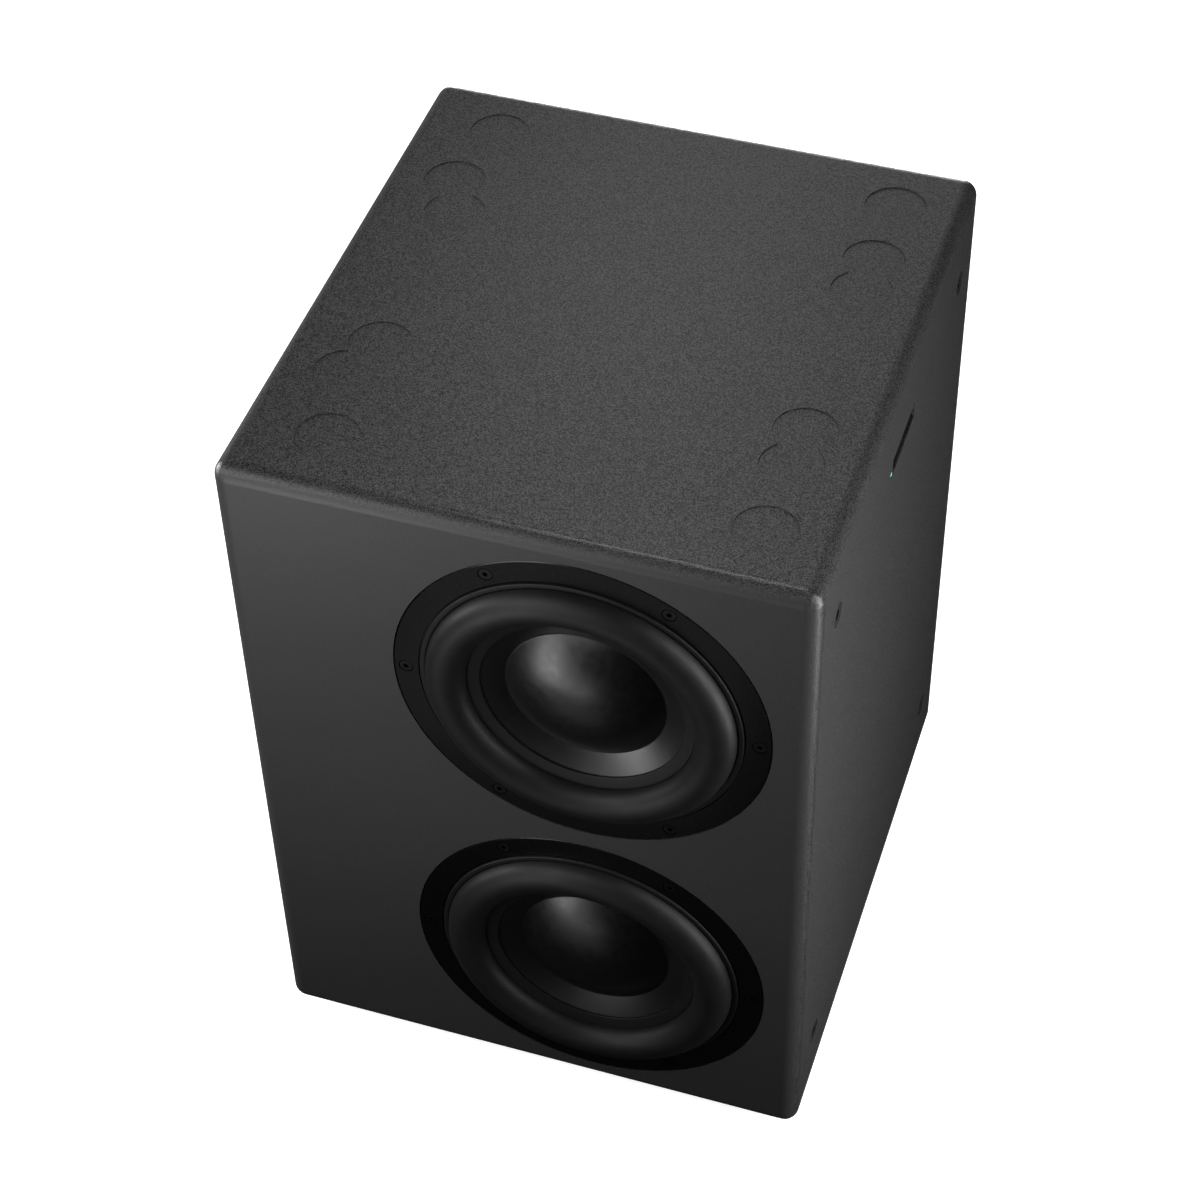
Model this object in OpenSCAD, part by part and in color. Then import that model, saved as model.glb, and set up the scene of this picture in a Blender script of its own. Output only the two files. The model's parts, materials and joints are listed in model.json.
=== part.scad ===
// Twin-woofer studio subwoofer: a sealed cabinet with its amplifier set in the back.
// Origin: on the floor, under the middle of the whole object. +X right, +Y back, +Z up.

/* [Cabinet] */
// Width of the cabinet
cab_w = 373; // [366:1:400]
// Depth of the cabinet, front face to back face
cab_d = 399; // [390:1:430]
// Height of the cabinet without its feet
cab_h = 526; // [520:1:560]
// Radius of all outer edges and corners
edge_r = 10; // [6:1:12]
// Thickness of the top, bottom and side walls
wall_t = 20; // [18:1:24]
// Thickness of the front baffle
baffle_t = 25; // [22:1:30]
// Thickness of the rear panel
rear_t = 22; // [20:1:26]
// Height of the rubber feet
foot_h = 8; // [6:1:12]

/* [Woofers] */
// How far the woofers sit to the right of the cabinet's middle
driver_x = 41; // [36:1:44]
// Distance between the two woofers' centres
driver_pitch = 254; // [250:1:264]
// Outer diameter of a woofer's frame
frame_d = 240; // [238:1:242]
// Pitch circle of the six frame screws
screw_pcd = 225; // [223:1:227]
// Radius to the middle of the surround's roll
roll_mid_r = 86; // [85:0.5:87]
// Outer radius of the roll's section, which is also how far it stands proud
roll_r = 13; // [11:0.5:13]
// Diameter of the dust cap
cap_d = 103.6; // [90:0.2:110]
// Rise of the dust cap above its own edge
cap_rise = 16; // [10:0.5:18]

/* [Amplifier] */
// Width of the amplifier plate
plate_w = 260; // [250:1:270]
// Height of the amplifier plate
plate_h = 400; // [396:1:410]
// How far the heatsink and the knobs stand out of the back
rear_proud = 13; // [11:0.5:16]
// Diameter of the control knobs
knob_d = 22; // [18:1:26]

/* [Hidden] */
$fn = 96;
eps = 0.01;

// main planes; the surround's roll stands as far out in front as rear_proud does behind
front_y = -(cab_d + rear_proud + roll_r) / 2 + roll_r;
back_y = front_y + cab_d;
mid_y = (front_y + back_y) / 2;
mid_z = foot_h + cab_h / 2;
top_z = foot_h + cab_h;
inner_w = cab_w - 2 * wall_t;
inner_h = cab_h - 2 * wall_t;
inner_front = front_y + baffle_t;
inner_back = back_y - rear_t;
upper_z = mid_z + driver_pitch / 2;
lower_z = mid_z - driver_pitch / 2;

// round pockets in the top, which locate the feet of a loudspeaker
pocket_r = 20;
pocket_deep = 0.7;
pocket_rows = [46, 102, 133];   // from the front, and again from the back
pocket_right = 141;
pocket_left = [-129, -140, -129];

// gap round a screw, insert or lens in the hole made for it
seat_gap = 0.05;

// small screws with a 4 mm shank, for the feet and the amplifier plate
small_screw_r = 2;
small_screw_len = 16;
small_clear_r = 2.2;

// threaded inserts in the right side
insert_dy = 311;
insert_dz = 416;
insert_rim_r = 8;
insert_rim_t = 1.5;
insert_body_r = 6;
insert_len = 15;
insert_hole_r = 3.4;
insert_hole_len = 14;
insert_sunk = 0.3;

// badge slot and status light on the right side
badge_y = 204;      // from the front
badge_z = 468;      // above the cabinet's underside
badge_len = 56;
badge_tall = 12.5;
badge_deep = 2;
badge_t = 1;
light_y = 172.8;
light_z = 465.5;
light_r = 1.5;
light_sunk = 0.1;

// feet
foot_r = 20;
foot_in = 35;
foot_pocket_r = 5.2;
foot_pocket_deep = 4;

// inside the cabinet: the brace across the middle and the sheets of lining
brace_t = 18;
window_w = 120;
window_d = 100;
window_r = 18;
lining_t = 12;
lining_w = 280;
lining_d = 230;
lining_side_h = 170;
lining_side_z = 100;      // middle of a side sheet, above or below the cabinet's middle

// woofer, heights counted outwards from the baffle's front face
frame_r = frame_d / 2;
frame_t = 5.5;
gasket_t = 1;
rebate_deep = frame_t + gasket_t;
rebate_gap = 0.6;
cutout_r = 107;
lip_seat_r = 104.2;
lip_seat_deep = 1.5;
lip_top = 2;
frame_inner_r = 96.5;
screw_r = screw_pcd / 2;
screw_count = 6;
screw_head_r = 4.15;
screw_head_t = 3;
screw_pocket_r = 4.8;
screw_pocket_deep = 3.2;
screw_shank_r = 2.5;
screw_clear_r = 2.75;
screw_len = 18;
wall_in_r = 99;           // wall of the basket behind its frame ring
wall_out_r = 103.5;
wall_end = -20;
spoke_w = 9;
ledge_r = 63;
rubber_t = 1.6;
lip_edge_r = 65;          // inner edge of the surround's glued lip
lip_edge_h = -3.2;
cone_slope = 0.516;       // rise for each unit of radius
cone_rim_r = 70;
cone_t = 1.2;
neck_r = 25.6;
cap_t = 0.8;
former_in = 25;
former_out = 25.5;
former_top = -21;
former_end = -84;
coil_out = 26.9;
coil_top = -62;
coil_end = -82;
pole_r = 24.4;
plate_top = -68;
plate_end = -76;
plate_hole_r = 27.6;
plate_r = 58;
magnet_end = -98;
magnet_r = 66;
magnet_hole_r = 33;
yoke_end = -106;
yoke_r = 60;
vent_r = 9;
pole_top = -67;
ledge_h = -46;
spider_t = 0.7;
spider_wave = 1.5;
spider_waves = 5;
terminal_x = -63.4;       // face of the terminal board
tag_len = 5;

// amplifier plate, positions counted from the plate's centre
plate_t = 3;
plate_gasket_t = 1;
plate_corner = 6;
plate_gap = 1;
plate_land = 10;          // width of the seat round the cut-out in the rear panel
cover_gap = 3;
cut_w = plate_w - 2 * plate_land;
cut_h = plate_h - 2 * plate_land;
cover_w = cut_w - 2 * cover_gap;
cover_h = cut_h - 2 * cover_gap;
cover_t = 1.2;
cover_deep = 66;
plate_screw_in = 5.5;
plate_screw_x = plate_w / 2 - plate_screw_in;
plate_screw_z = plate_h / 2 - plate_screw_in;
plate_screw_mid_z = 65;
plate_screws = concat(
    [for (x = [-1, 0, 1], z = [-1, 1]) [x * plate_screw_x, z * plate_screw_z]],
    [for (x = [-1, 1], z = [-1, 1]) [x * plate_screw_x, z * plate_screw_mid_z]]);
sink_w = 196;
sink_h = 150;
sink_z = 112;
sink_base = 3;
sink_fins = 17;
fin_t = 2.4;
fin_bond = 0.05;          // line of glue between a fin and the base
board_deep = 36;          // face of the amplifier's circuit board, behind the plate's outer face
board_t = 1.6;
board_z = 70;
knob_x = [72, 12];
knob_z = 0;
input_x = [78, 38];
output_x = [-22, -62];
socket_z = -55;
flange_w = 26;
flange_h = 31;
flange_t = 2;
barrel_r = 11.8;
barrel_len = 22;
cup_r = 9.6;
cup_deep = 14;
core_r = 7.5;
contact_r = 3.8;
contact_hole_r = 1.3;
pin_r = 1.2;
pin_len = 11;
latch_w = 9;
latch_h = 3.4;
latch_z = 12.4;
latch_proud = 2.2;
latch_gap = 0.3;
flange_screw_x = 10.2;
flange_screw_z = 12.6;
flange_screw_r = 1.5;
flange_screw_len = 8;     // below its head
inlet_x = -60;
inlet_z = -135;
inlet_w = 27;
inlet_h = 44;
inlet_proud = 2.5;
inlet_chamfer = 4;
inlet_cup_w = 24.5;
inlet_cup_h = 16.5;
inlet_cup_z = 10;
inlet_deep = 19;
blade_len = 14;
drawer_w = 21.6;
drawer_h = 10.6;
drawer_z = -13;
drawer_len = 18;
slide_gap = 0.3;
switch_x = 60;
switch_z = -135;
switch_w = 19;
switch_h = 25;
rocker_w = 12.8;
rocker_l = 18.6;
rocker_tilt = 10;
rocker_axis_in = 2;
pivot_r = 1.2;
run_gap = 0.06;
shaft_r = 3;
bush_r = 3.5;
pot_size = 16;
knob_roof = 3;
cut_room = 0.6;           // slack of a cut-out in the plate round the part it takes

// ---------- shared shapes ----------

// rounded rectangle, centred
module rounded_rect(w, h, r) {
    difference() {
        square([w, h], center = true);
        for (i = [-1, 1], j = [-1, 1])
            translate([i * w / 2, j * h / 2])
                difference() {
                    square(2 * r, center = true);
                    translate([-i * r, -j * r]) circle(r);
                }
    }
}

// a section in X and Z, drawn out from y0 to y1
module along_y(y0, y1) {
    translate([0, y1, 0]) rotate([90, 0, 0]) linear_extrude(y1 - y0) children();
}

// a round bar or hole from y0 to y1
module bar_y(x, z, y0, y1, r) {
    translate([x, y1, z]) rotate([90, 0, 0]) cylinder(h = y1 - y0, r = r);
}

// the eased outermost layer of the cabinet's front, one edge radius thick, facing down its own Z
module eased_layer(w, h, r) {
    translate([-w / 2 + r, -h / 2 + r, 0]) cube([w - 2 * r, h - 2 * r, r]);
    for (i = [0:3]) {
        wide = i % 2 == 0 ? w : h;
        tall = i % 2 == 0 ? h : w;
        rotate([0, 0, 90 * i]) translate([wide / 2 - r, tall / 2 - r, r])
            rotate([90, 0, 0]) rotate([0, 0, -90]) {
                rotate_extrude(angle = 90) square([r, tall - 2 * r]);
                mirror([0, 0, 1]) rotate_extrude(angle = 90) intersection() { circle(r); square(r); }
            }
    }
}

// a panel with its outer face eased, its outer face at y = 0 and its thickness towards +Y
module eased_panel(t) {
    rotate([-90, 0, 0]) {
        eased_layer(cab_w, cab_h, edge_r);
        translate([0, 0, edge_r]) linear_extrude(t - edge_r) rounded_rect(cab_w, cab_h, edge_r);
    }
}

// places a shape drawn in radius and outward height on a woofer's axis
module at_driver(z) {
    translate([driver_x, front_y, z]) rotate([90, 0, 0]) children();
}

// repeats a shape at the frame screws
module at_frame_screws() {
    for (i = [0:screw_count - 1])
        rotate([0, 0, i * 360 / screw_count]) translate([screw_r, 0, 0]) children();
}

// a plain ring from height h0 to height h1
module ring(r0, r1, h0, h1) {
    translate([0, 0, h0]) difference() {
        cylinder(h = h1 - h0, r = r1);
        translate([0, 0, -1]) cylinder(h = h1 - h0 + 2, r = r0);
    }
}

// moves from the amplifier plate's centre, with y counted outwards from the cabinet's back face
module on_plate(x, z) {
    translate([x, back_y, mid_z + z]) children();
}

// ---------- cabinet ----------

module pockets() {
    for (i = [0:len(pocket_rows) - 1], from_front = [true, false]) {
        y = from_front ? front_y + pocket_rows[i] : back_y - pocket_rows[i];
        for (x = [pocket_right, pocket_left[i]])
            translate([x, y, top_z - pocket_deep]) cylinder(h = 5, r = pocket_r);
    }
}

module at_inserts() {
    for (i = [-1, 1], j = [-1, 1])
        translate([cab_w / 2 - insert_sunk, mid_y + i * insert_dy / 2, mid_z + j * insert_dz / 2])
            rotate([0, -90, 0]) children();
}

module at_feet() {
    for (i = [-1, 1], j = [-1, 1])
        translate([i * (cab_w / 2 - foot_in), mid_y + j * (cab_d / 2 - foot_in), 0]) children();
}

module cabinet_shell() {
    color("#3f4144") difference() {
        along_y(inner_front, inner_back) translate([0, mid_z]) difference() {
            rounded_rect(cab_w, cab_h, edge_r);
            square([inner_w, inner_h], center = true);
        }
        pockets();
        at_inserts() {
            translate([0, 0, -2]) cylinder(h = insert_rim_t + 2 + seat_gap, r = insert_rim_r + 2 * seat_gap);
            cylinder(h = insert_len + 1, r = insert_body_r + seat_gap);
        }
        translate([cab_w / 2 - badge_deep, front_y + badge_y, foot_h + badge_z])
            translate([0, -badge_len / 2, -badge_tall / 2]) cube([badge_deep + 1, badge_len, badge_tall]);
        translate([cab_w / 2 - wall_t - 1, front_y + light_y, foot_h + light_z]) rotate([0, 90, 0])
            cylinder(h = wall_t + 2, r = light_r + seat_gap);
        at_feet() cylinder(h = foot_h + small_screw_len, r = small_screw_r + seat_gap);
    }
}

module front_baffle() {
    color("#3f4144") difference() {
        translate([0, front_y, mid_z]) eased_panel(baffle_t);
        for (z = [upper_z, lower_z]) at_driver(z) {
            translate([0, 0, -rebate_deep]) cylinder(h = rebate_deep + 1, r = frame_r + rebate_gap);
            translate([0, 0, -baffle_t - 1]) cylinder(h = baffle_t + 2, r = cutout_r);
            at_frame_screws() translate([0, 0, -screw_pocket_deep - screw_len - 1])
                cylinder(h = screw_len + 1, r = screw_shank_r + seat_gap);
        }
    }
}

module rear_panel() {
    color("#3f4144") difference() {
        translate([0, back_y, mid_z]) rotate([0, 0, 180]) eased_panel(rear_t);
        along_y(back_y - plate_t - plate_gasket_t, back_y + 1) translate([0, mid_z])
            rounded_rect(plate_w + 2 * plate_gap, plate_h + 2 * plate_gap, plate_corner);
        along_y(inner_back - 1, back_y) translate([0, mid_z]) rounded_rect(cut_w, cut_h, plate_corner);
        for (p = plate_screws)
            bar_y(p[0], mid_z + p[1], back_y - small_screw_len - 1, back_y, small_screw_r + seat_gap);
    }
}

module window_brace() {
    cover_room = 6;
    rail = 24;              // solid width left round the windows
    first_y = inner_front + rail + window_d / 2;
    color("#b08d62") difference() {
        translate([-inner_w / 2, inner_front, mid_z - brace_t / 2])
            cube([inner_w, inner_back - inner_front, brace_t]);
        translate([-cover_w / 2 - cover_room, inner_back - cover_deep - 2, mid_z - brace_t])
            cube([cover_w + 2 * cover_room, cover_deep + 10, 2 * brace_t]);
        for (i = [-1, 1], y = [first_y, first_y + window_d + rail])
            translate([i * (window_w + rail) / 2, y, mid_z - brace_t]) linear_extrude(2 * brace_t)
                rounded_rect(window_w, window_d, window_r);
    }
}

module damping_lining() {
    start_y = inner_front + 20;
    color("#cfccc2") for (j = [-1, 1]) {
        // one sheet against the top and one against the bottom
        translate([-lining_w / 2, start_y, j > 0 ? top_z - wall_t - lining_t : foot_h + wall_t])
            cube([lining_w, lining_d, lining_t]);
        // one against each side wall, above and below the brace
        for (i = [-1, 1])
            translate([i > 0 ? inner_w / 2 - lining_t : -inner_w / 2, start_y,
                    mid_z + j * lining_side_z - lining_side_h / 2])
                cube([lining_t, lining_d, lining_side_h]);
    }
}

module side_inserts() {
    color("#8d8f90") at_inserts() difference() {
        union() {
            cylinder(h = insert_rim_t, r = insert_rim_r);
            cylinder(h = insert_len, r = insert_body_r);
        }
        translate([0, 0, -1]) cylinder(h = insert_hole_len + 1, r = insert_hole_r);
    }
}

module badge_plate() {
    slack = 0.4;
    color("#17181a") translate([cab_w / 2 - badge_deep, front_y + badge_y, foot_h + badge_z])
        rotate([0, 90, 0]) rotate([0, 0, 90]) linear_extrude(badge_t)
            rounded_rect(badge_len - slack, badge_tall - slack, 0.6);
}

module light_lens() {
    color("#2fae8c") translate([cab_w / 2 - wall_t - 1, front_y + light_y, foot_h + light_z])
        rotate([0, 90, 0]) cylinder(h = wall_t + 1 - light_sunk, r = light_r);
}

module light_board() {
    post_len = 3.4;
    board_w = 24;
    board_h = 16;
    color("#2d6b3f") translate([inner_w / 2 - post_len, front_y + light_y, foot_h + light_z]) {
        translate([-board_t, -board_w / 2, -board_h / 2]) cube([board_t, board_w, board_h]);
        translate([0, -1.5, -1.5]) cube([1.2, 3, 3]);
        for (y = [-9, 9]) translate([0, y, 0]) rotate([0, 90, 0]) cylinder(h = post_len, r = 2);
    }
}

module rubber_feet() {
    toe = 1.5;
    color("#1c1c1d") at_feet() difference() {
        rotate_extrude() polygon([[0, 0], [foot_r - 2 * toe, 0], [foot_r - toe, toe],
            [foot_r, foot_h], [0, foot_h]]);
        translate([0, 0, -1]) cylinder(h = foot_pocket_deep + 1, r = foot_pocket_r);
        cylinder(h = foot_h + 1, r = small_clear_r);
    }
}

module foot_screws() {
    head_t = 2.6;
    head_r = 4.4;
    hex_r = 1.7;
    color("#9a9b9c") at_feet() translate([0, 0, foot_pocket_deep - head_t]) difference() {
        union() {
            cylinder(h = head_t, r = head_r);
            cylinder(h = head_t + small_screw_len, r = small_screw_r);
        }
        translate([0, 0, -eps]) cylinder(h = head_t - 1, r = hex_r, $fn = 6);
    }
}

// ---------- woofer ----------

function cone_h(r) = lip_edge_h + (r - lip_edge_r) * cone_slope;

module basket(z) {
    base_in = 34;
    base_t = 5;
    ledge_in = 56;
    ledge_t = 4;
    shelf_r = ledge_r - 3;
    spoke_out = wall_in_r + 1;
    spoke_in = ledge_r - 1;
    color("#101113") at_driver(z) difference() {
        union() {
            // frame ring, its seat for the surround, and the wall that drops from it
            rotate_extrude() polygon([[frame_r, -frame_t], [frame_r, -0.5], [frame_r - 0.5, 0],
                [lip_seat_r, 0], [lip_seat_r, -lip_seat_deep], [frame_inner_r, -lip_seat_deep],
                [frame_inner_r, -frame_t], [wall_in_r, -frame_t], [wall_in_r, wall_end],
                [wall_out_r, wall_end], [wall_out_r, -frame_t]]);
            // ledge for the spider, and the base that the top plate is fixed to
            rotate_extrude() polygon([[ledge_in, ledge_h], [ledge_r, ledge_h], [ledge_r, plate_top],
                [base_in, plate_top], [base_in, plate_top + base_t], [shelf_r, plate_top + base_t],
                [shelf_r, ledge_h - ledge_t], [ledge_in, ledge_h - ledge_t]]);
            for (a = [0:5]) rotate([90, 0, 30 + 60 * a]) translate([0, 0, -spoke_w / 2])
                linear_extrude(spoke_w) polygon([[spoke_out, -8], [spoke_out, wall_end],
                    [spoke_in, plate_top + 1], [spoke_in, ledge_h - 3]]);
        }
        at_frame_screws() {
            translate([0, 0, -screw_pocket_deep]) cylinder(h = 5, r = screw_pocket_r);
            translate([0, 0, -frame_t - 1]) cylinder(h = frame_t + 1, r = screw_clear_r);
        }
    }
}

module gasket(z) {
    color("#2a2a2b") at_driver(z) difference() {
        ring(cutout_r + 0.5, frame_r - 0.5, -rebate_deep, -frame_t);
        at_frame_screws() translate([0, 0, -rebate_deep - 1]) cylinder(h = gasket_t + 2, r = screw_clear_r);
    }
}

module surround(z) {
    roll_in = roll_mid_r - roll_r;
    roll_out = roll_mid_r + roll_r;
    lip_r = lip_seat_r - 0.2;
    ease = 0.6;
    glued_r = cone_rim_r + 0.2;
    color("#26272a") at_driver(z) rotate_extrude() {
        // half roll
        translate([roll_mid_r, 0]) difference() {
            circle(roll_r);
            circle(roll_r - rubber_t);
            translate([-roll_r - 1, -roll_r - 1]) square([2 * roll_r + 2, roll_r + 1]);
        }
        // outer lip, which stands a little proud of the frame
        polygon([[roll_out - rubber_t, -lip_seat_deep], [lip_r, -lip_seat_deep], [lip_r, lip_top - ease],
            [lip_r - ease, lip_top], [roll_out + ease, lip_top], [roll_out, lip_top - ease], [roll_out, 0],
            [roll_out - rubber_t, 0]]);
        // inner lip, glued on the cone's rim, with a raised bead
        polygon([[roll_in + rubber_t, 0], [roll_in, 0], [roll_in - 1, 1.4], [roll_in - 1.7, 3],
            [roll_in - 2.4, 3.4], [roll_in - 3.2, 3.1], [lip_edge_r, lip_edge_h + 0.3],
            [lip_edge_r, lip_edge_h + 0.02], [glued_r, cone_h(glued_r) + 0.02],
            [glued_r, -lip_seat_deep], [roll_in + rubber_t, -lip_seat_deep]]);
    }
}

module cone(z) {
    rim_h = cone_h(cone_rim_r);
    neck_h = cone_h(neck_r);
    color("#2e2f32") at_driver(z) rotate_extrude() polygon([[cone_rim_r, rim_h], [neck_r, neck_h],
        [neck_r, neck_h - cone_t], [cone_rim_r, rim_h - cone_t]]);
}

module dust_cap(z) {
    cap_r = cap_d / 2;
    edge_h = cone_h(cap_r);
    ball_r = (cap_r * cap_r + cap_rise * cap_rise) / (2 * cap_rise);
    color("#232427") at_driver(z) rotate_extrude() intersection() {
        translate([0, edge_h + cap_rise - ball_r]) difference() {
            circle(ball_r, $fn = 240);
            circle(ball_r - cap_t, $fn = 240);
        }
        polygon([[0, 20], [cap_r, 20], [cap_r, edge_h + 0.03], [0, cone_h(0) + 0.03]]);
    }
}

module coil_former(z) { color("#c7b08a") at_driver(z) ring(former_in, former_out, former_end, former_top); }

module voice_coil(z) { color("#b5713a") at_driver(z) ring(former_out + 0.05, coil_out, coil_end, coil_top); }

module spider(z) {
    r0 = 30;
    r1 = 55;
    outer = ledge_r - 1;
    inner = former_out + seat_gap;
    steps = spider_waves * 8;
    mid = ledge_h + spider_t / 2;
    up = [0, spider_t / 2];
    wave = [for (i = [0:steps]) let (t = i / steps)
        [r0 + (r1 - r0) * t, mid + spider_wave * sin(360 * spider_waves * t)]];
    color("#c9a55c") at_driver(z) rotate_extrude() polygon(concat(
        [[inner, mid] + up], [for (p = wave) p + up], [[outer, mid] + up],
        [[outer, mid] - up], [for (i = [steps:-1:0]) wave[i] - up], [[inner, mid] - up]));
}

module top_plate(z) { color("#7d8083") at_driver(z) ring(plate_hole_r, plate_r, plate_end, plate_top); }

module magnet(z) { color("#4a4a4d") at_driver(z) ring(magnet_hole_r, magnet_r, magnet_end, plate_end); }

module yoke(z) {
    ease = 2;
    color("#7d8083") at_driver(z) rotate_extrude() polygon([[vent_r, yoke_end], [yoke_r - ease, yoke_end],
        [yoke_r, yoke_end + ease], [yoke_r, magnet_end], [pole_r, magnet_end], [pole_r, pole_top - 1],
        [pole_r - 1, pole_top], [vent_r, pole_top]]);
}

module terminals(z) {
    board = [3, 22, 12];
    tag = [tag_len, 0.8, 6];
    color("#8a6b3a") at_driver(z) {
        translate([terminal_x - board.x, -board.y / 2, -62]) cube(board);
        for (y = [-6.5, 6.5]) translate([terminal_x - board.x - tag.x, y - tag.y / 2, -59]) cube(tag);
    }
}

module frame_screws(z) {
    hex_r = 1.85;
    hex_deep = 1.8;
    color("#1b1c1e") at_driver(z) at_frame_screws() translate([0, 0, -screw_pocket_deep]) difference() {
        union() {
            cylinder(h = screw_head_t, r = screw_head_r);
            translate([0, 0, -screw_len]) cylinder(h = screw_len, r = screw_shank_r);
        }
        translate([0, 0, screw_head_t - hex_deep]) cylinder(h = 3, r = hex_r, $fn = 6);
    }
}

// ---------- amplifier ----------

// outline of a socket's rear body, which is also the outline of its cut-out
module socket_outline(gap) {
    circle(barrel_r + gap);
    translate([-latch_w / 2 - 1.2 - gap, 0]) square([latch_w + 2.4 + 2 * gap, 14.9 + gap]);
}

module amp_plate() {
    color("#1e1f21") difference() {
        along_y(back_y - plate_t, back_y) translate([0, mid_z]) difference() {
            rounded_rect(plate_w, plate_h, plate_corner);
            for (x = concat(input_x, output_x)) translate([x, socket_z]) {
                socket_outline(0.3);
                for (s = [-1, 1]) translate([s * flange_screw_x, -s * flange_screw_z])
                    circle(flange_screw_r + seat_gap);
            }
            for (x = knob_x) translate([x, knob_z]) circle(bush_r + 0.1);
            translate([inlet_x, inlet_z])
                square([inlet_w + cut_room, inlet_h + cut_room], center = true);
            translate([switch_x, switch_z])
                square([switch_w + cut_room, switch_h + cut_room], center = true);
            for (p = plate_screws) translate(p) circle(small_clear_r);
        }
    }
}

module amp_gasket() {
    color("#2a2a2b") along_y(back_y - plate_t - plate_gasket_t, back_y - plate_t)
        translate([0, mid_z]) difference() {
            rounded_rect(plate_w - 1, plate_h - 1, plate_corner);
            rounded_rect(cut_w, cut_h, plate_corner);
            for (p = plate_screws) translate(p) circle(small_clear_r);
        }
}

module amp_screws() {
    head_t = 2.2;
    hex_deep = 1.4;
    hex_r = 1.45;
    color("#26272a") for (p = plate_screws) on_plate(p[0], p[1]) rotate([-90, 0, 0]) difference() {
        union() {
            cylinder(h = head_t, r1 = 4, r2 = 3.2);
            translate([0, 0, -small_screw_len]) cylinder(h = small_screw_len, r = small_screw_r);
        }
        translate([0, 0, head_t - hex_deep]) cylinder(h = 3, r = hex_r, $fn = 6);
    }
}

// a flat base with separate fins bonded to it
module heatsink() {
    pitch = (sink_w - fin_t) / (sink_fins - 1);
    fin_low = sink_base + fin_bond;
    color("#1a1b1d") on_plate(0, sink_z) {
        translate([-sink_w / 2, 0, -sink_h / 2]) cube([sink_w, sink_base, sink_h]);
        for (i = [0:sink_fins - 1]) translate([-sink_w / 2 + i * pitch, fin_low, -sink_h / 2])
            cube([fin_t, rear_proud - fin_low, sink_h]);
    }
}

module amp_cover() {
    color("#a9abad") difference() {
        along_y(back_y - plate_t - cover_deep, back_y - plate_t) translate([0, mid_z])
            square([cover_w, cover_h], center = true);
        along_y(back_y - plate_t - cover_deep + cover_t, back_y) translate([0, mid_z])
            square([cover_w - 2 * cover_t, cover_h - 2 * cover_t], center = true);
    }
}

module amp_board() {
    board = [190, board_t, 150];
    post_in = 7;
    color("#2d6b3f") on_plate(0, board_z) {
        translate([-board.x / 2, -board_deep, -board.z / 2]) cube(board);
        for (i = [-1, 1], j = [-1, 1])
            translate([i * (board.x / 2 - post_in), -plate_t, j * (board.z / 2 - post_in)])
                rotate([90, 0, 0]) cylinder(h = board_deep - board_t - plate_t, r = 3);
    }
}

module transformer() {
    deep = 30;
    tall = 34;
    core_hole_r = 13;
    color("#d8a73a") on_plate(0, -120) translate([0, -deep, 0]) rotate([90, 0, 0]) difference() {
        cylinder(h = tall, r = 40);
        translate([0, 0, -1]) cylinder(h = tall + 2, r = core_hole_r);
    }
}

module capacitors() {
    can_r = 12.5;
    can_len = 30;
    can_pitch = 40;
    color("#23303f") on_plate(0, board_z) for (i = [-1.5:1.5]) translate([i * can_pitch, -board_deep, -40])
        rotate([90, 0, 0]) cylinder(h = can_len, r = can_r);
}

module mains_inlet() {
    body_deep = 26;
    rim_w = 5;
    half_w = inlet_cup_w / 2;
    half_h = inlet_cup_h / 2;
    blade = [2, blade_len + 1, 4];
    blade_pitch = 7;
    floor_y = inlet_proud - inlet_deep;
    color("#141516") on_plate(inlet_x, inlet_z) {
        difference() {
            union() {
                along_y(0, inlet_proud) rounded_rect(inlet_w + rim_w, inlet_h + rim_w + 1, 3);
                translate([-inlet_w / 2, -body_deep, -inlet_h / 2]) cube([inlet_w, body_deep + 1, inlet_h]);
            }
            // cup for the plug, with its two upper corners cut
            along_y(floor_y, 5) translate([0, inlet_cup_z]) polygon([[-half_w, -half_h], [half_w, -half_h],
                [half_w, half_h - inlet_chamfer], [half_w - inlet_chamfer, half_h],
                [-half_w + inlet_chamfer, half_h], [-half_w, half_h - inlet_chamfer]]);
            // slot for the fuse drawer
            translate([-drawer_w / 2, inlet_proud - drawer_len - 2, drawer_z - drawer_h / 2])
                translate([-slide_gap, 0, -slide_gap])
                    cube([drawer_w + 2 * slide_gap, drawer_len + 5, drawer_h + 2 * slide_gap]);
        }
        // three contact blades, the middle one set higher
        for (i = [-1:1])
            translate([i * blade_pitch, floor_y - 1, inlet_cup_z + (i == 0 ? 2 : -2)])
                translate([-blade.x / 2, 0, -blade.z / 2]) cube(blade);
    }
}

module fuse_drawer() {
    lip = 1.2;
    lip_t = 1.6;
    lip_y = inlet_proud + slide_gap;
    color("#1d1e20") on_plate(inlet_x, inlet_z) difference() {
        union() {
            translate([-drawer_w / 2, inlet_proud - drawer_len, drawer_z - drawer_h / 2])
                cube([drawer_w, drawer_len + 1, drawer_h]);
            translate([-drawer_w / 2 - lip, lip_y, drawer_z - drawer_h / 2 - 1])
                cube([drawer_w + 2 * lip, lip_t, drawer_h + 2]);
        }
        // cradle for the fuse, and the finger notch
        translate([-9, inlet_proud - drawer_len + 2, drawer_z - 3]) cube([18, 12, 20]);
        translate([-4, lip_y + lip_t / 2, drawer_z - 2]) cube([8, 3, 4]);
    }
}

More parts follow.
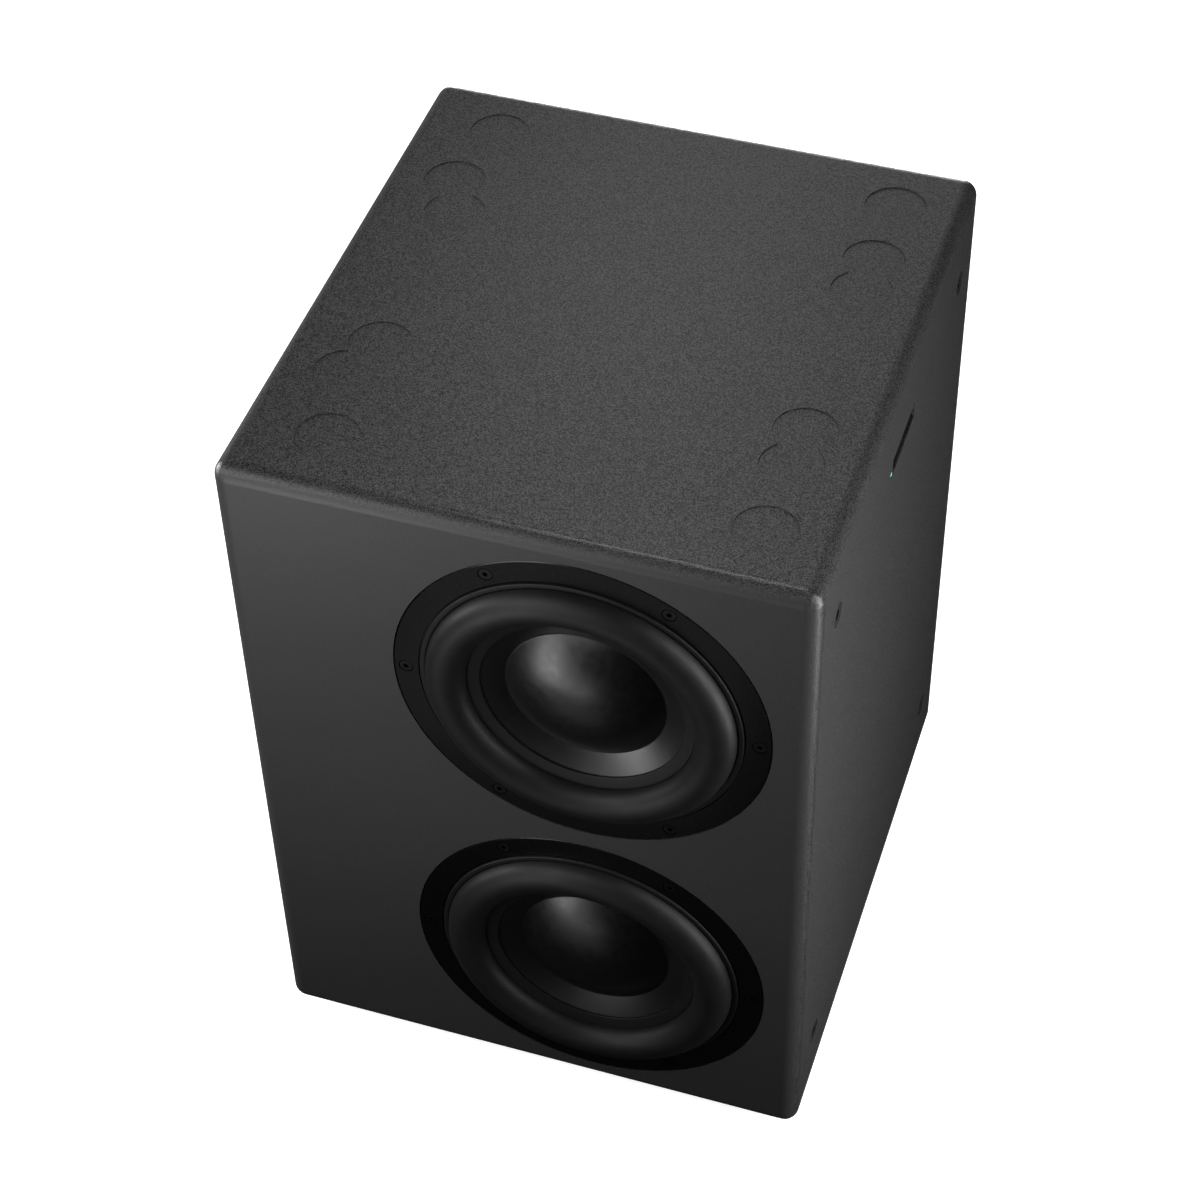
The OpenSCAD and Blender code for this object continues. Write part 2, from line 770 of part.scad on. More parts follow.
module rocker_bezel() {
    open_w = rocker_w + 0.8;
    open_l = rocker_l + 1.8;
    body_deep = 16;
    pivot_len = switch_w - 3;
    color("#141516") on_plate(switch_x, switch_z) difference() {
        union() {
            along_y(0, 1.6) rounded_rect(switch_w + 4, switch_h + 5, 2.5);
            translate([-switch_w / 2, -body_deep, -switch_h / 2]) cube([switch_w, body_deep + 1, switch_h]);
        }
        translate([-open_w / 2, -body_deep + 3, -open_l / 2]) cube([open_w, 20, open_l]);
        translate([-pivot_len / 2, -rocker_axis_in, 0]) rotate([0, 90, 0])
            cylinder(h = pivot_len, r = pivot_r + run_gap);
    }
}

module power_rocker() {
    half = rocker_l / 2;
    crest = 3.4;            // height of the rocker's two ends above its pivot
    dip = 1.4;
    pivot_len = switch_w - 3.8;
    color("#222326") on_plate(switch_x, switch_z)
        translate([0, -rocker_axis_in, 0]) rotate([rocker_tilt, 0, 0]) {
            translate([-rocker_w / 2, 0, 0]) rotate([90, 0, 90]) linear_extrude(rocker_w)
                polygon([[crest, -half], [dip, 0], [crest, half], [-3, half],
                    [-6, 2], [-6, -2], [-3, -half]]);
            translate([-pivot_len / 2, 0, 0]) rotate([0, 90, 0]) cylinder(h = pivot_len, r = pivot_r);
        }
}

module socket_body() {
    along_y(0, flange_t) rounded_rect(flange_w, flange_h, 3);
    along_y(-barrel_len, eps) socket_outline(0);
}

module flange_screw_holes() {
    for (s = [-1, 1])
        bar_y(s * flange_screw_x, -s * flange_screw_z, -1, flange_t + 1, flange_screw_r + seat_gap);
}

// two pan-head screws with cross slots in each socket's flange
module socket_screws() {
    head_r = 2.6;
    head_t = 1.1;
    slot = [3, 0.6, 1];
    for (x = concat(input_x, output_x), s = [-1, 1])
        color("#26272a") on_plate(x + s * flange_screw_x, socket_z - s * flange_screw_z)
            translate([0, flange_t, 0]) rotate([-90, 0, 0]) difference() {
                union() {
                    cylinder(h = head_t, r1 = head_r, r2 = head_r - 0.6);
                    translate([0, 0, -flange_screw_len]) cylinder(h = flange_screw_len, r = flange_screw_r);
                }
                for (a = [0, 90]) rotate([0, 0, a])
                    translate([-slot.x / 2, -slot.y / 2, head_t - 0.7]) cube(slot);
            }
}

// three contacts: two above and one below
module at_contacts() {
    for (a = [30, 150, 270]) translate([contact_r * cos(a), 0, contact_r * sin(a)]) children();
}

module input_sockets() {
    color("#17181a") for (x = input_x) on_plate(x, socket_z) difference() {
        socket_body();
        // ring-shaped gap for the plug's shell, round a core with three contact holes
        along_y(-10, flange_t + 1) difference() { circle(cup_r); circle(core_r); }
        at_contacts() bar_y(0, 0, -9, flange_t + 1, contact_hole_r);
        // slot for the latch tab
        translate([-latch_w / 2 - latch_gap, -9, latch_z - latch_h / 2 - latch_gap])
            cube([latch_w + 2 * latch_gap, 20, latch_h + 2 * latch_gap]);
        flange_screw_holes();
    }
}

module latch(x) {
    color("#b9bbbd") on_plate(x, socket_z) translate([-latch_w / 2, -5, latch_z - latch_h / 2])
        cube([latch_w, 5 + flange_t + latch_proud, latch_h]);
}

module output_sockets() {
    color("#17181a") for (x = output_x) on_plate(x, socket_z) {
        difference() {
            socket_body();
            bar_y(0, 0, flange_t - cup_deep, flange_t + 1, cup_r);
            flange_screw_holes();
        }
        at_contacts() bar_y(0, 0, flange_t - cup_deep - 1, flange_t - cup_deep + pin_len, pin_r);
    }
}

module control_pots() {
    pot_deep = 8;
    color("#3c4a63") for (x = knob_x) on_plate(x, knob_z) difference() {
        union() {
            translate([-pot_size / 2, -plate_t - 0.5 - pot_deep, -pot_size / 2])
                cube([pot_size, pot_deep, pot_size]);
            bar_y(0, 0, -plate_t - 1, 0.8, bush_r);
        }
        bar_y(0, 0, -plate_t - pot_deep + 1, 2, shaft_r + run_gap);
    }
}

module control_shaft(x) {
    color("#a5a7a9") on_plate(x, knob_z) bar_y(0, 0, -plate_t - 6, rear_proud - knob_roof, shaft_r);
}

module knob(x) {
    r = knob_d / 2;
    low = 1.2;              // underside, above the plate
    shoulder = r - 1.6;
    flutes = 12;
    flute_r = 2.6;
    groove_w = 1.2;
    groove_deep = 0.6;
    color("#1b1c1e") on_plate(x, knob_z) rotate([-90, 0, 0]) difference() {
        rotate_extrude() polygon([[0, low], [r, low], [r, low + 2], [r - 1, low + 3],
            [shoulder, rear_proud - 1], [shoulder - 1, rear_proud], [0, rear_proud]]);
        translate([0, 0, low - 1]) cylinder(h = rear_proud - knob_roof - low + 1.3, r = shaft_r + 0.02);
        for (i = [0:flutes - 1]) rotate([0, 0, (i + 0.5) * 360 / flutes]) translate([r + 0.7, 0, low + 3.5])
            cylinder(h = rear_proud, r = flute_r);
        // pointer groove
        translate([-groove_w / 2, -r, rear_proud - groove_deep]) cube([groove_w, r - 3, 2]);
    }
}

// ---------- cables from the amplifier to the woofers ----------

module driver_cables() {
    cable_r = 2.4;
    clear = cable_r + 0.2;
    beside_x = -84;
    for (z = [upper_z, lower_z]) {
        route = [[-60, back_y - plate_t - cover_deep - clear, z], [beside_x, 60, z], [beside_x, -90, z],
            [driver_x + terminal_x - 3 - tag_len - clear, front_y + 56, z]];
        color("#b3252b") for (i = [0:len(route) - 2]) hull() {
            translate(route[i]) sphere(cable_r, $fn = 16);
            translate(route[i + 1]) sphere(cable_r, $fn = 16);
        }
    }
}

cabinet_shell();
front_baffle();
rear_panel();
window_brace();
damping_lining();
side_inserts();
badge_plate();
light_lens();
light_board();
rubber_feet();
foot_screws();
basket(upper_z);  // upper_basket
gasket(upper_z);  // upper_gasket
surround(upper_z);  // upper_surround
cone(upper_z);  // upper_cone
dust_cap(upper_z);  // upper_dust_cap
coil_former(upper_z);  // upper_coil_former
voice_coil(upper_z);  // upper_voice_coil
spider(upper_z);  // upper_spider
top_plate(upper_z);  // upper_top_plate
magnet(upper_z);  // upper_magnet
yoke(upper_z);  // upper_yoke
terminals(upper_z);  // upper_terminals
frame_screws(upper_z);  // upper_frame_screws
basket(lower_z);  // lower_basket
gasket(lower_z);  // lower_gasket
surround(lower_z);  // lower_surround
cone(lower_z);  // lower_cone
dust_cap(lower_z);  // lower_dust_cap
coil_former(lower_z);  // lower_coil_former
voice_coil(lower_z);  // lower_voice_coil
spider(lower_z);  // lower_spider
top_plate(lower_z);  // lower_top_plate
magnet(lower_z);  // lower_magnet
yoke(lower_z);  // lower_yoke
terminals(lower_z);  // lower_terminals
frame_screws(lower_z);  // lower_frame_screws
amp_plate();
amp_gasket();
amp_screws();
heatsink();
amp_cover();
amp_board();
transformer();
capacitors();
mains_inlet();
fuse_drawer();
rocker_bezel();
power_rocker();
input_sockets();
latch(input_x[0]);  // left_latch
latch(input_x[1]);  // right_latch
output_sockets();
socket_screws();
control_pots();
knob(knob_x[0]);  // level_knob
control_shaft(knob_x[0]);  // level_shaft
knob(knob_x[1]);  // crossover_knob
control_shaft(knob_x[1]);  // crossover_shaft
driver_cables();
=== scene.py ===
"""Looks of a twin-woofer studio subwoofer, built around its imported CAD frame. Lengths are in metres."""
import json
import math

import bmesh
import bpy
from mathutils import Matrix, Vector


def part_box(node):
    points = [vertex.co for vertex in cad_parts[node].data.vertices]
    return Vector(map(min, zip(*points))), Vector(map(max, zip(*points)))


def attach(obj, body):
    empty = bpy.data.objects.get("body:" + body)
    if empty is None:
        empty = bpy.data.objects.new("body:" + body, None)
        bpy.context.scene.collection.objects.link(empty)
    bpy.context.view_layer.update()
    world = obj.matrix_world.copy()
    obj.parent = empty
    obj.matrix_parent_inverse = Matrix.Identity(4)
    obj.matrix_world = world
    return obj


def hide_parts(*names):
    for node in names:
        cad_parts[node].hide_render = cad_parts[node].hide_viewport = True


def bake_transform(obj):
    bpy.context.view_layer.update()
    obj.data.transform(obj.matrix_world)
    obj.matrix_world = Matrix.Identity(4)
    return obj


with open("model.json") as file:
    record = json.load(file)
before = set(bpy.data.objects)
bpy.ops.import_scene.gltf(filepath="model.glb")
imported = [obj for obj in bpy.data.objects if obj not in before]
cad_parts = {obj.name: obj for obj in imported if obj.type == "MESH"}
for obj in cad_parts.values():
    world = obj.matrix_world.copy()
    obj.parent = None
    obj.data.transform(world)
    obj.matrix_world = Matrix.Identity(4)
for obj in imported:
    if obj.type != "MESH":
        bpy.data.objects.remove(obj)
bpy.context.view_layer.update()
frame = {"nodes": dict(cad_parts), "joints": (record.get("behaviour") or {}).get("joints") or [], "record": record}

MM = 0.001
FRONT_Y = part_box("front_baffle")[0].y
BACK_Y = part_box("rear_panel")[1].y


def add_object(name, data):
    thing = bpy.data.objects.new(name, data)
    bpy.context.scene.collection.objects.link(thing)
    return thing


# ---------- camera ----------

CAMERA_PLACE = (0.4331, -1.2827, 1.7033)
AZIMUTH, ELEVATION, ROLL = (math.radians(a) for a in (18.67, 45.60, -1.20))
LENS, FILM_WIDTH = 86.45, 36.0  # millimetres
SHIFT_X, SHIFT_Y = -0.0151, -0.0369  # parts of the picture's width
NEAREST, FURTHEST = 0.05, 60.0


def place_camera():
    """A long lens, high and to the right, looking down at the front."""
    data = bpy.data.cameras.new("camera")
    data.lens, data.sensor_width = LENS, FILM_WIDTH
    data.shift_x, data.shift_y = SHIFT_X, SHIFT_Y
    data.clip_start, data.clip_end = NEAREST, FURTHEST
    camera = add_object("camera", data)
    turn = Matrix.Rotation(AZIMUTH, 4, "Z") @ Matrix.Rotation(math.pi / 2 - ELEVATION, 4, "X")
    turn = turn @ Matrix.Rotation(ROLL, 4, "Z")
    camera.matrix_world = Matrix.Translation(CAMERA_PLACE) @ turn
    bpy.context.scene.camera = camera


place_camera()


# ---------- stage and light ----------

# points to aim at
MIDDLE = (0, 0, 0.27)
WOOFERS = (0.04, -0.20, 0.40)

# name: place, point it is aimed at, width, height, watts
LAMPS = {
    "top": ((-0.18, 0.53, 1.11), (0, 0, 0.53), 0.35, 0.35, 0.8),
    "overhead": ((0, -0.09, 0.98), (0, -0.19, 0.53), 0.25, 0.05, 0.5),
    "front_left": ((-0.33, -0.67, 0.35), WOOFERS, 0.20, 0.40, 0.95),
    "front_left_high": ((-0.45, -0.60, 0.85), (-0.10, -0.20, 0.45), 0.40, 0.40, 2.0),
    "front_low": ((-0.33, -1.00, 0.24), WOOFERS, 0.40, 0.40, 0.3),
    "front_near": ((-0.08, -0.50, 0.62), (-0.05, -0.20, 0.40), 0.25, 0.15, 0.2),
    "floor_near": ((-0.10, -0.55, 0.01), (-0.10, -0.55, 1.0), 0.30, 0.20, 0.05),
    "floor_far": ((-0.30, -1.10, 0.01), (-0.30, -1.10, 1.0), 0.60, 0.50, 1.6),
    "left": ((-1.76, 0, 0.64), MIDDLE, 1.0, 0.8, 30.0),
    "right_strip": ((0.75, -0.20, 0.35), (0.18, -0.15, 0.35), 0.25, 0.60, 5.1),
    "right_front": ((0.50, -0.28, 0.68), (0.18, -0.18, 0.50), 0.20, 0.25, 1.0),
    "back_high": ((-0.07, 2.04, 1.09), MIDDLE, 1.2, 1.0, 7.5),
    "back_low": ((-0.50, 2.00, 0.30), MIDDLE, 1.0, 0.5, 50.0),
}

SKY_STRENGTH = 0.012
FLOOR_SIZE, FLOOR_Z, FLOOR_GLOW = 40, -0.0002, 0.82
BACKDROP_RADIUS, BACKDROP_GLOW = 19, 1.0


def place_lamps():
    """Rectangular lamps that the camera doesn't see."""
    for name, (place, aim, width, height, watts) in LAMPS.items():
        data = bpy.data.lights.new(name, "AREA")
        data.shape, data.size, data.size_y, data.energy = "RECTANGLE", width, height, watts
        lamp = add_object(name, data)
        lamp.location = place
        lamp.rotation_euler = (Vector(aim) - Vector(place)).to_track_quat("-Z", "Y").to_euler()
        lamp.visible_camera = False


def place_sky():
    world = bpy.data.worlds.new("studio")
    bpy.context.scene.world = world
    world.use_nodes = True
    background = world.node_tree.nodes["Background"]
    background.inputs["Color"].default_value = (1, 1, 1, 1)
    background.inputs["Strength"].default_value = SKY_STRENGTH


def white(name, glow):
    """Matt white that also glows by itself."""
    mat = bpy.data.materials.new(name)
    mat.use_nodes = True
    shader = mat.node_tree.nodes["Principled BSDF"]
    shader.inputs["Base Color"].default_value = (0.9, 0.9, 0.9, 1)
    shader.inputs["Roughness"].default_value = 0.9
    shader.inputs["Emission Color"].default_value = (1, 1, 1, 1)
    shader.inputs["Emission Strength"].default_value = glow
    return mat


def set_stage(stage, mat):
    """The floor and the backdrop are seen by the camera, but throw no light back on the object."""
    stage.data.materials.append(mat)
    stage.visible_diffuse = False
    stage.visible_glossy = False


def place_floor():
    """A plain floor just under the feet, inside a wide round backdrop."""
    bpy.ops.mesh.primitive_plane_add(size=FLOOR_SIZE, location=(0, 0, FLOOR_Z))
    floor = bpy.context.active_object
    floor.name = "floor"
    set_stage(floor, white("floor", FLOOR_GLOW))
    bpy.ops.mesh.primitive_uv_sphere_add(segments=64, ring_count=32, radius=BACKDROP_RADIUS)
    backdrop = bpy.context.active_object
    backdrop.name = "backdrop"
    backdrop.visible_shadow = False
    set_stage(backdrop, white("backdrop", BACKDROP_GLOW))


bpy.context.scene.view_settings.view_transform = "Standard"
place_lamps()
place_sky()
place_floor()


# ---------- materials ----------

WAVE_LENGTH = math.pi / 10  # of a wave texture whose scale is 1


def grey(level):
    return (level, level, level)


class Shader:
    """A Principled material and short ways to feed it. Patterns are laid out in the object's own metres."""

    def __init__(self, name, color, roughness, metallic=0.0, **values):
        """values are further sockets by name, such as Emission_Strength."""
        self.mat = bpy.data.materials.new(name)
        self.mat.use_nodes = True
        self.tree = self.mat.node_tree
        self.bsdf = self.tree.nodes["Principled BSDF"]
        self.color = color
        self.set("Base Color", (*color, 1))
        self.set("Roughness", roughness)
        self.set("Metallic", metallic)
        for key, value in values.items():
            self.set(key.replace("_", " ").title().replace("Ior", "IOR"), value)
        self.coords = self.tree.nodes.new("ShaderNodeTexCoord").outputs["Object"]

    def set(self, socket, value):
        self.bsdf.inputs[socket].default_value = value

    def node(self, kind, **values):
        node = self.tree.nodes.new("ShaderNode" + kind)
        for key, value in values.items():
            if key in node.inputs:
                node.inputs[key].default_value = value
            else:
                setattr(node, key, value)
        return node

    def link(self, source, target):
        self.tree.links.new(source, target)

    def scaled(self, size, stretch=(1, 1, 1)):
        """The object's own coordinates, counted in steps of size metres."""
        mapping = self.node("Mapping")
        mapping.inputs["Scale"].default_value = [s / size for s in stretch]
        self.link(self.coords, mapping.inputs["Vector"])
        return mapping.outputs["Vector"]

    def noise(self, size, detail=2.0, rough=0.5, stretch=(1, 1, 1)):
        """Noise whose features are about size metres across."""
        noise = self.node("TexNoise", Scale=1.0, Detail=detail, Roughness=rough)
        self.link(self.scaled(size, stretch), noise.inputs["Vector"])
        return noise.outputs["Fac"]

    def cells(self, size):
        """Distance from the middles of cells about size metres across."""
        cells = self.node("TexVoronoi", Scale=1.0)
        self.link(self.scaled(size), cells.inputs["Vector"])
        return cells.outputs["Distance"]

    def bands(self, size, axis, wobble=0.0):
        """Even ridges across an axis, size metres apart."""
        wave = self.node("TexWave", bands_direction=axis, Scale=WAVE_LENGTH, Distortion=wobble)
        self.link(self.scaled(size), wave.inputs["Vector"])
        return wave.outputs["Fac"]

    def ramp(self, source, low, high, start=0.3, end=0.7):
        """source from start to end becomes low to high."""
        node = self.node("MapRange")
        node.inputs["From Min"].default_value = start
        node.inputs["From Max"].default_value = end
        node.inputs["To Min"].default_value = low
        node.inputs["To Max"].default_value = high
        self.link(source, node.inputs["Value"])
        return node.outputs["Result"]

    def calculate(self, operation, a, b):
        """a and b are numbers or outputs of nodes."""
        node = self.node("Math", operation=operation)
        for value, socket in ((a, node.inputs[0]), (b, node.inputs[1])):
            if isinstance(value, (int, float)):
                socket.default_value = value
            else:
                self.link(value, socket)
        return node.outputs["Value"]

    def vary_color(self, source, dark, light):
        """The base colour runs from dark to light times itself as source runs from 0.3 to 0.7."""
        mix = self.node("Mix", data_type="RGBA")
        self.link(self.ramp(source, 0, 1), mix.inputs[0])
        mix.inputs[6].default_value = (*[c * dark for c in self.color], 1)
        mix.inputs[7].default_value = (*[c * light for c in self.color], 1)
        self.link(mix.outputs[2], self.bsdf.inputs["Base Color"])

    def vary_roughness(self, source, low, high):
        """The roughness runs from low to high as source runs from 0.3 to 0.7."""
        self.link(self.ramp(source, low, high), self.bsdf.inputs["Roughness"])

    def bump(self, source, height, strength=None):
        """Relief of that height in metres, on top of any made before. strength is an output from 0 to 1."""
        node = self.node("Bump", Distance=height, Strength=1.0)
        if strength:
            self.link(strength, node.inputs["Strength"])
        if self.bsdf.inputs["Normal"].is_linked:
            self.link(self.bsdf.inputs["Normal"].links[0].from_socket, node.inputs["Normal"])
        self.link(source, node.inputs["Height"])
        self.link(node.outputs["Normal"], self.bsdf.inputs["Normal"])


# places on the cabinet's front rounding: where the paint's grain comes up, and where it is rubbed shiny
GRAIN_STARTS, GRAIN_FULL = FRONT_Y + 0.0005, FRONT_Y + 0.006
RUB_STARTS, RUB_FULL = FRONT_Y + 0.004, FRONT_Y + 0.0065
RUB_FADES, RUB_ENDS = FRONT_Y + 0.0095, FRONT_Y + 0.0115
RUB = 0.12  # how much less rough the paint is there


def cabinet_paint(name):
    """Dark grey structured paint, nearly smooth on the flat of the baffle and rubbed on its rounding."""
    s = Shader(name, grey(0.033), 0.46)
    place = s.node("SeparateXYZ")
    s.link(s.coords, place.inputs["Vector"])
    y = place.outputs["Y"]
    grain = s.ramp(y, 0.1, 1.0, GRAIN_STARTS, GRAIN_FULL)
    fine = s.ramp(s.noise(0.0008, 1), -0.5, 0.5, 0.4, 0.6)
    speckle = s.calculate("MULTIPLY", s.calculate("MULTIPLY", fine, grain), 0.4)
    s.vary_color(s.calculate("ADD", speckle, 0.5), 0.0, 2.4)  # 0.3 to 0.7 where the grain is full
    starts = s.ramp(y, 0, 1, RUB_STARTS, RUB_FULL)
    ends = s.ramp(y, RUB, 0, RUB_FADES, RUB_ENDS)
    rough = s.ramp(s.noise(0.0012, 2), 0.39, 0.51)
    rubbed = s.calculate("SUBTRACT", rough, s.calculate("MULTIPLY", starts, ends))
    s.link(rubbed, s.bsdf.inputs["Roughness"])
    s.bump(s.noise(0.045, 1), 0.00006)
    s.bump(s.noise(0.0035, 1), 0.0002, grain)
    s.bump(s.noise(0.0009, 2, 0.6), 0.00009, grain)
    return s.mat


def moulded(name, color, roughness, relief=0.00003, grain=0.0007, **values):
    """Moulded plastic with the fine spark texture of its mould."""
    s = Shader(name, color, roughness, **values)
    s.vary_color(s.noise(grain * 25, 3), 0.9, 1.1)
    s.vary_roughness(s.noise(grain * 4, 3), roughness * 0.88, min(1.0, roughness * 1.12))
    s.bump(s.noise(grain, 2), relief)
    return s.mat


def metal(name, color, roughness, streak=(1, 1, 1), metallic=1.0, relief=0.000008):
    """Metal with a slow stain in its colour and fine streaks, long on the axes where streak is small."""
    s = Shader(name, color, roughness, metallic)
    s.vary_color(s.noise(0.012, 3), 0.85, 1.12)
    s.vary_roughness(s.noise(0.0006, 3, 0.6, streak), roughness * 0.8, roughness * 1.25)
    s.bump(s.noise(0.0005, 2, 0.5, streak), relief)
    return s.mat


def powder_coat(name, color, roughness, **values):
    """The close orange-peel skin of powder coat on cast metal."""
    s = Shader(name, color, roughness, **values)
    s.vary_color(s.noise(0.02, 2), 0.85, 1.15)
    s.vary_roughness(s.noise(0.002, 2), roughness * 0.9, roughness * 1.1)
    s.bump(s.noise(0.0014, 1), 0.00003)
    s.bump(s.noise(0.0004, 2), 0.000008)
    return s.mat


def rubber(name, color, roughness, relief=0.000015, **values):
    """Satin rubber with a faint bloom on it."""
    s = Shader(name, color, roughness, **values)
    s.vary_color(s.noise(0.008, 4, 0.6), 0.88, 1.14)
    s.vary_roughness(s.noise(0.015, 3), roughness * 0.93, roughness * 1.07)
    s.bump(s.noise(0.0005, 2), relief)
    return s.mat


def foam(name, color):
    """Open cells, with painted shade darkening their hollow middles."""
    s = Shader(name, color, 0.95)
    # painted shade: the colour darkens in the pores, where the bump below sinks
    s.vary_color(s.cells(0.0012), 0.6, 1.3)
    s.bump(s.cells(0.0012), 0.0004)
    return s.mat


def coated_cone(name, color):
    """A stiff cone with a satin coat, which pools a little between its fibres."""
    s = Shader(name, color, 0.30, Specular_Ior_Level=0.75)
    s.vary_color(s.noise(0.006, 4, 0.6), 0.88, 1.12)
    s.vary_roughness(s.noise(0.003, 3), 0.28, 0.33)
    s.bump(s.noise(0.0009, 3), 0.00002)
    return s.mat


def woven(name, color, pitch, roughness=0.8, relief=0.00015):
    """Crossed threads, pitch metres apart."""
    s = Shader(name, color, roughness)
    weave = s.calculate("MULTIPLY", s.bands(pitch, "X", 0.3), s.bands(pitch, "Z", 0.3))
    # painted shade: the colour darkens where the threads dip, in the gaps between them
    s.vary_color(weave, 0.7, 1.15)
    s.vary_roughness(s.noise(0.004, 2), roughness * 0.9, min(1.0, roughness * 1.1))
    s.bump(weave, relief)
    return s.mat


def wound(name, color, pitch, metallic=0.0, roughness=0.35):
    """Wire or tape laid turn by turn along Y."""
    s = Shader(name, color, roughness, metallic)
    turns = s.bands(pitch, "Y", 0.1)
    # painted shade: the colour darkens in the grooves between the turns
    s.vary_color(turns, 0.75, 1.1)
    s.vary_roughness(s.noise(0.002, 2), roughness * 0.85, roughness * 1.15)
    s.bump(turns, pitch * 0.3)
    return s.mat


def fibres(name, color, length, relief, roughness=0.9):
    """Pressed fibres, as in fibreboard or felt."""
    s = Shader(name, color, roughness)
    s.vary_color(s.noise(length, 6, 0.75, (0.3, 1, 1)), 0.72, 1.2)
    s.vary_roughness(s.noise(length * 3, 2), roughness * 0.9, 1.0)
    s.bump(s.noise(length * 0.5, 5, 0.7, (1, 0.3, 1)), relief)
    return s.mat


def circuit_board(name):
    """Green lacquer over a faint pattern of tracks."""
    s = Shader(name, (0.02, 0.13, 0.05), 0.3)
    tracks = s.node("TexBrick", Scale=1.0)
    tracks.inputs["Mortar Size"].default_value = 0.06
    s.link(s.scaled(0.006), tracks.inputs["Vector"])
    s.vary_color(tracks.outputs["Fac"], 0.8, 1.6)
    s.vary_roughness(s.noise(0.004, 2), 0.25, 0.38)
    s.bump(tracks.outputs["Fac"], 0.00004)
    return s.mat


def lit_lens(name):
    """A small green lens, lit from behind."""
    s = Shader(name, (0.03, 0.42, 0.31), 0.2, Emission_Color=(0.10, 0.85, 0.60, 1), Emission_Strength=1.6)
    s.vary_color(s.noise(0.0008, 2), 0.8, 1.2)
    s.vary_roughness(s.noise(0.0005, 2), 0.15, 0.28)
    s.bump(s.noise(0.0006, 1), 0.00003)
    return s.mat


BRUSHED_UPWARDS = (1, 1, 0.05)

LOOKS = {
    "cabinet_paint": cabinet_paint("cabinet_paint"),
    "bare_board": fibres("bare_board", (0.40, 0.28, 0.17), 0.0015, 0.00008),
    "felt": fibres("felt", (0.60, 0.58, 0.52), 0.003, 0.0008),
    "insert_steel": metal("insert_steel", (0.11, 0.11, 0.115), 0.42),
    "badge_black": moulded("badge_black", grey(0.003), 0.14, relief=0.000004, grain=0.002),
    "light_green": lit_lens("light_green"),
    "circuit_board": circuit_board("circuit_board"),
    "foot_rubber": rubber("foot_rubber", grey(0.014), 0.72, relief=0.00006),
    "frame_black": powder_coat("frame_black", grey(0.002), 0.25, Specular_Ior_Level=0.35),
    "gasket_foam": foam("gasket_foam", grey(0.02)),
    "surround_rubber": rubber("surround_rubber", grey(0.007), 0.5, Specular_Ior_Level=0.3),
    "cone_black": coated_cone("cone_black", grey(0.006)),
    "cap_black": moulded("cap_black", grey(0.003), 0.33, 0.000006, 0.0012, Specular_Ior_Level=0.75),
    "former": woven("former", (0.50, 0.36, 0.20), 0.0009, 0.5, 0.00005),
    "copper": wound("copper", (0.62, 0.27, 0.12), 0.0005, 1.0, 0.3),
    "spider_cloth": woven("spider_cloth", (0.50, 0.36, 0.15), 0.0008),
    "plated_steel": metal("plated_steel", (0.55, 0.56, 0.58), 0.34),
    "ferrite": fibres("ferrite", (0.045, 0.045, 0.05), 0.0008, 0.00003, 0.65),
    "terminal_board": fibres("terminal_board", (0.22, 0.12, 0.05), 0.0012, 0.00002, 0.5),
    "black_screw": metal("black_screw", (0.035, 0.035, 0.038), 0.36),
    "amp_black": metal("amp_black", (0.020, 0.020, 0.021), 0.42, BRUSHED_UPWARDS, 0.55, 0.00001),
    "winding": wound("winding", (0.60, 0.38, 0.06), 0.006),
    "sleeve": moulded("sleeve", (0.02, 0.035, 0.07), 0.25),
    "black_moulding": moulded("black_moulding", (0.011, 0.011, 0.012), 0.46),
    "steel": metal("steel", (0.50, 0.50, 0.52), 0.46, relief=0.000001),
    "cable_sleeve": rubber("cable_sleeve", (0.25, 0.015, 0.012), 0.4),
}


def finish_nodes():
    """Gives every CAD node the look of its material slot."""
    slots = {row["node"]: row["material_slot"] for row in frame["record"]["subparts"]}
    for name, node in frame["nodes"].items():
        node.data.materials.clear()
        node.data.materials.append(LOOKS[slots[name]])
        for face in node.data.polygons:
            face.use_smooth = True


finish_nodes()


# ---------- woofer pieces ----------

SEGMENTS = 192

# radii, heights above the cabinet's front and thicknesses, in millimetres
CAP_RADIUS, CAP_EDGE, CAP_RISE, CAP_WALL = 51.8, -10.0, 16.0, 0.8
NECK_RADIUS, RIM_RADIUS, CONE_SLOPE, CONE_WALL = 25.6, 70.0, 0.516, 1.2
ROLL_RADIUS, ROLL_SIZE, RUBBER = 86.0, 13.0, 1.6
LIP_INNER, LIP_OUTER, LIP_TOP, SEAT = 98.9, 102.9, 1.3, -1.5
BEAD_INNER, BEAD_OUTER, GLUE = 65.2, 72.9, 0.05
WAVES, WAVE_HEIGHT, WAVES_START, WAVES_END = 5, 1.5, 30.0, 55.0
SPIDER_OUTER, SPIDER_HEIGHT, SPIDER_WALL = 62.0, -45.65, 0.6


def cone_height(radius):
    """The cone's face rises in a straight line through the dust cap's edge."""
    return CAP_EDGE + (radius - CAP_RADIUS) * CONE_SLOPE


def eased(corners, steps=6):
    """An outline from corners (radius, height, easing) in millimetres, each corner rounded by its easing."""
    out = []
    for i, (radius, height, ease) in enumerate(corners):
        here = Vector((radius, height))
        if ease <= 0:
            out.append(here)
            continue
        back = Vector(corners[i - 1][:2]) - here
        on = Vector(corners[(i + 1) % len(corners)][:2]) - here
        reach = min(ease, 0.48 * back.length, 0.48 * on.length)
        start, end = here + back.normalized() * reach, here + on.normalized() * reach
        for k in range(steps + 1):
            t = k / steps
            out.append(start * (1 - t) ** 2 + here * (2 * t * (1 - t)) + end * t ** 2)
    return out


def arc(radius, height, size, start, end, steps):
    """Points on a circle of that size round (radius, height), from one angle to another in degrees."""
    angles = [math.radians(start + (end - start) * k / steps) for k in range(steps + 1)]
    return [Vector((radius + size * math.cos(a), height + size * math.sin(a))) for a in angles]


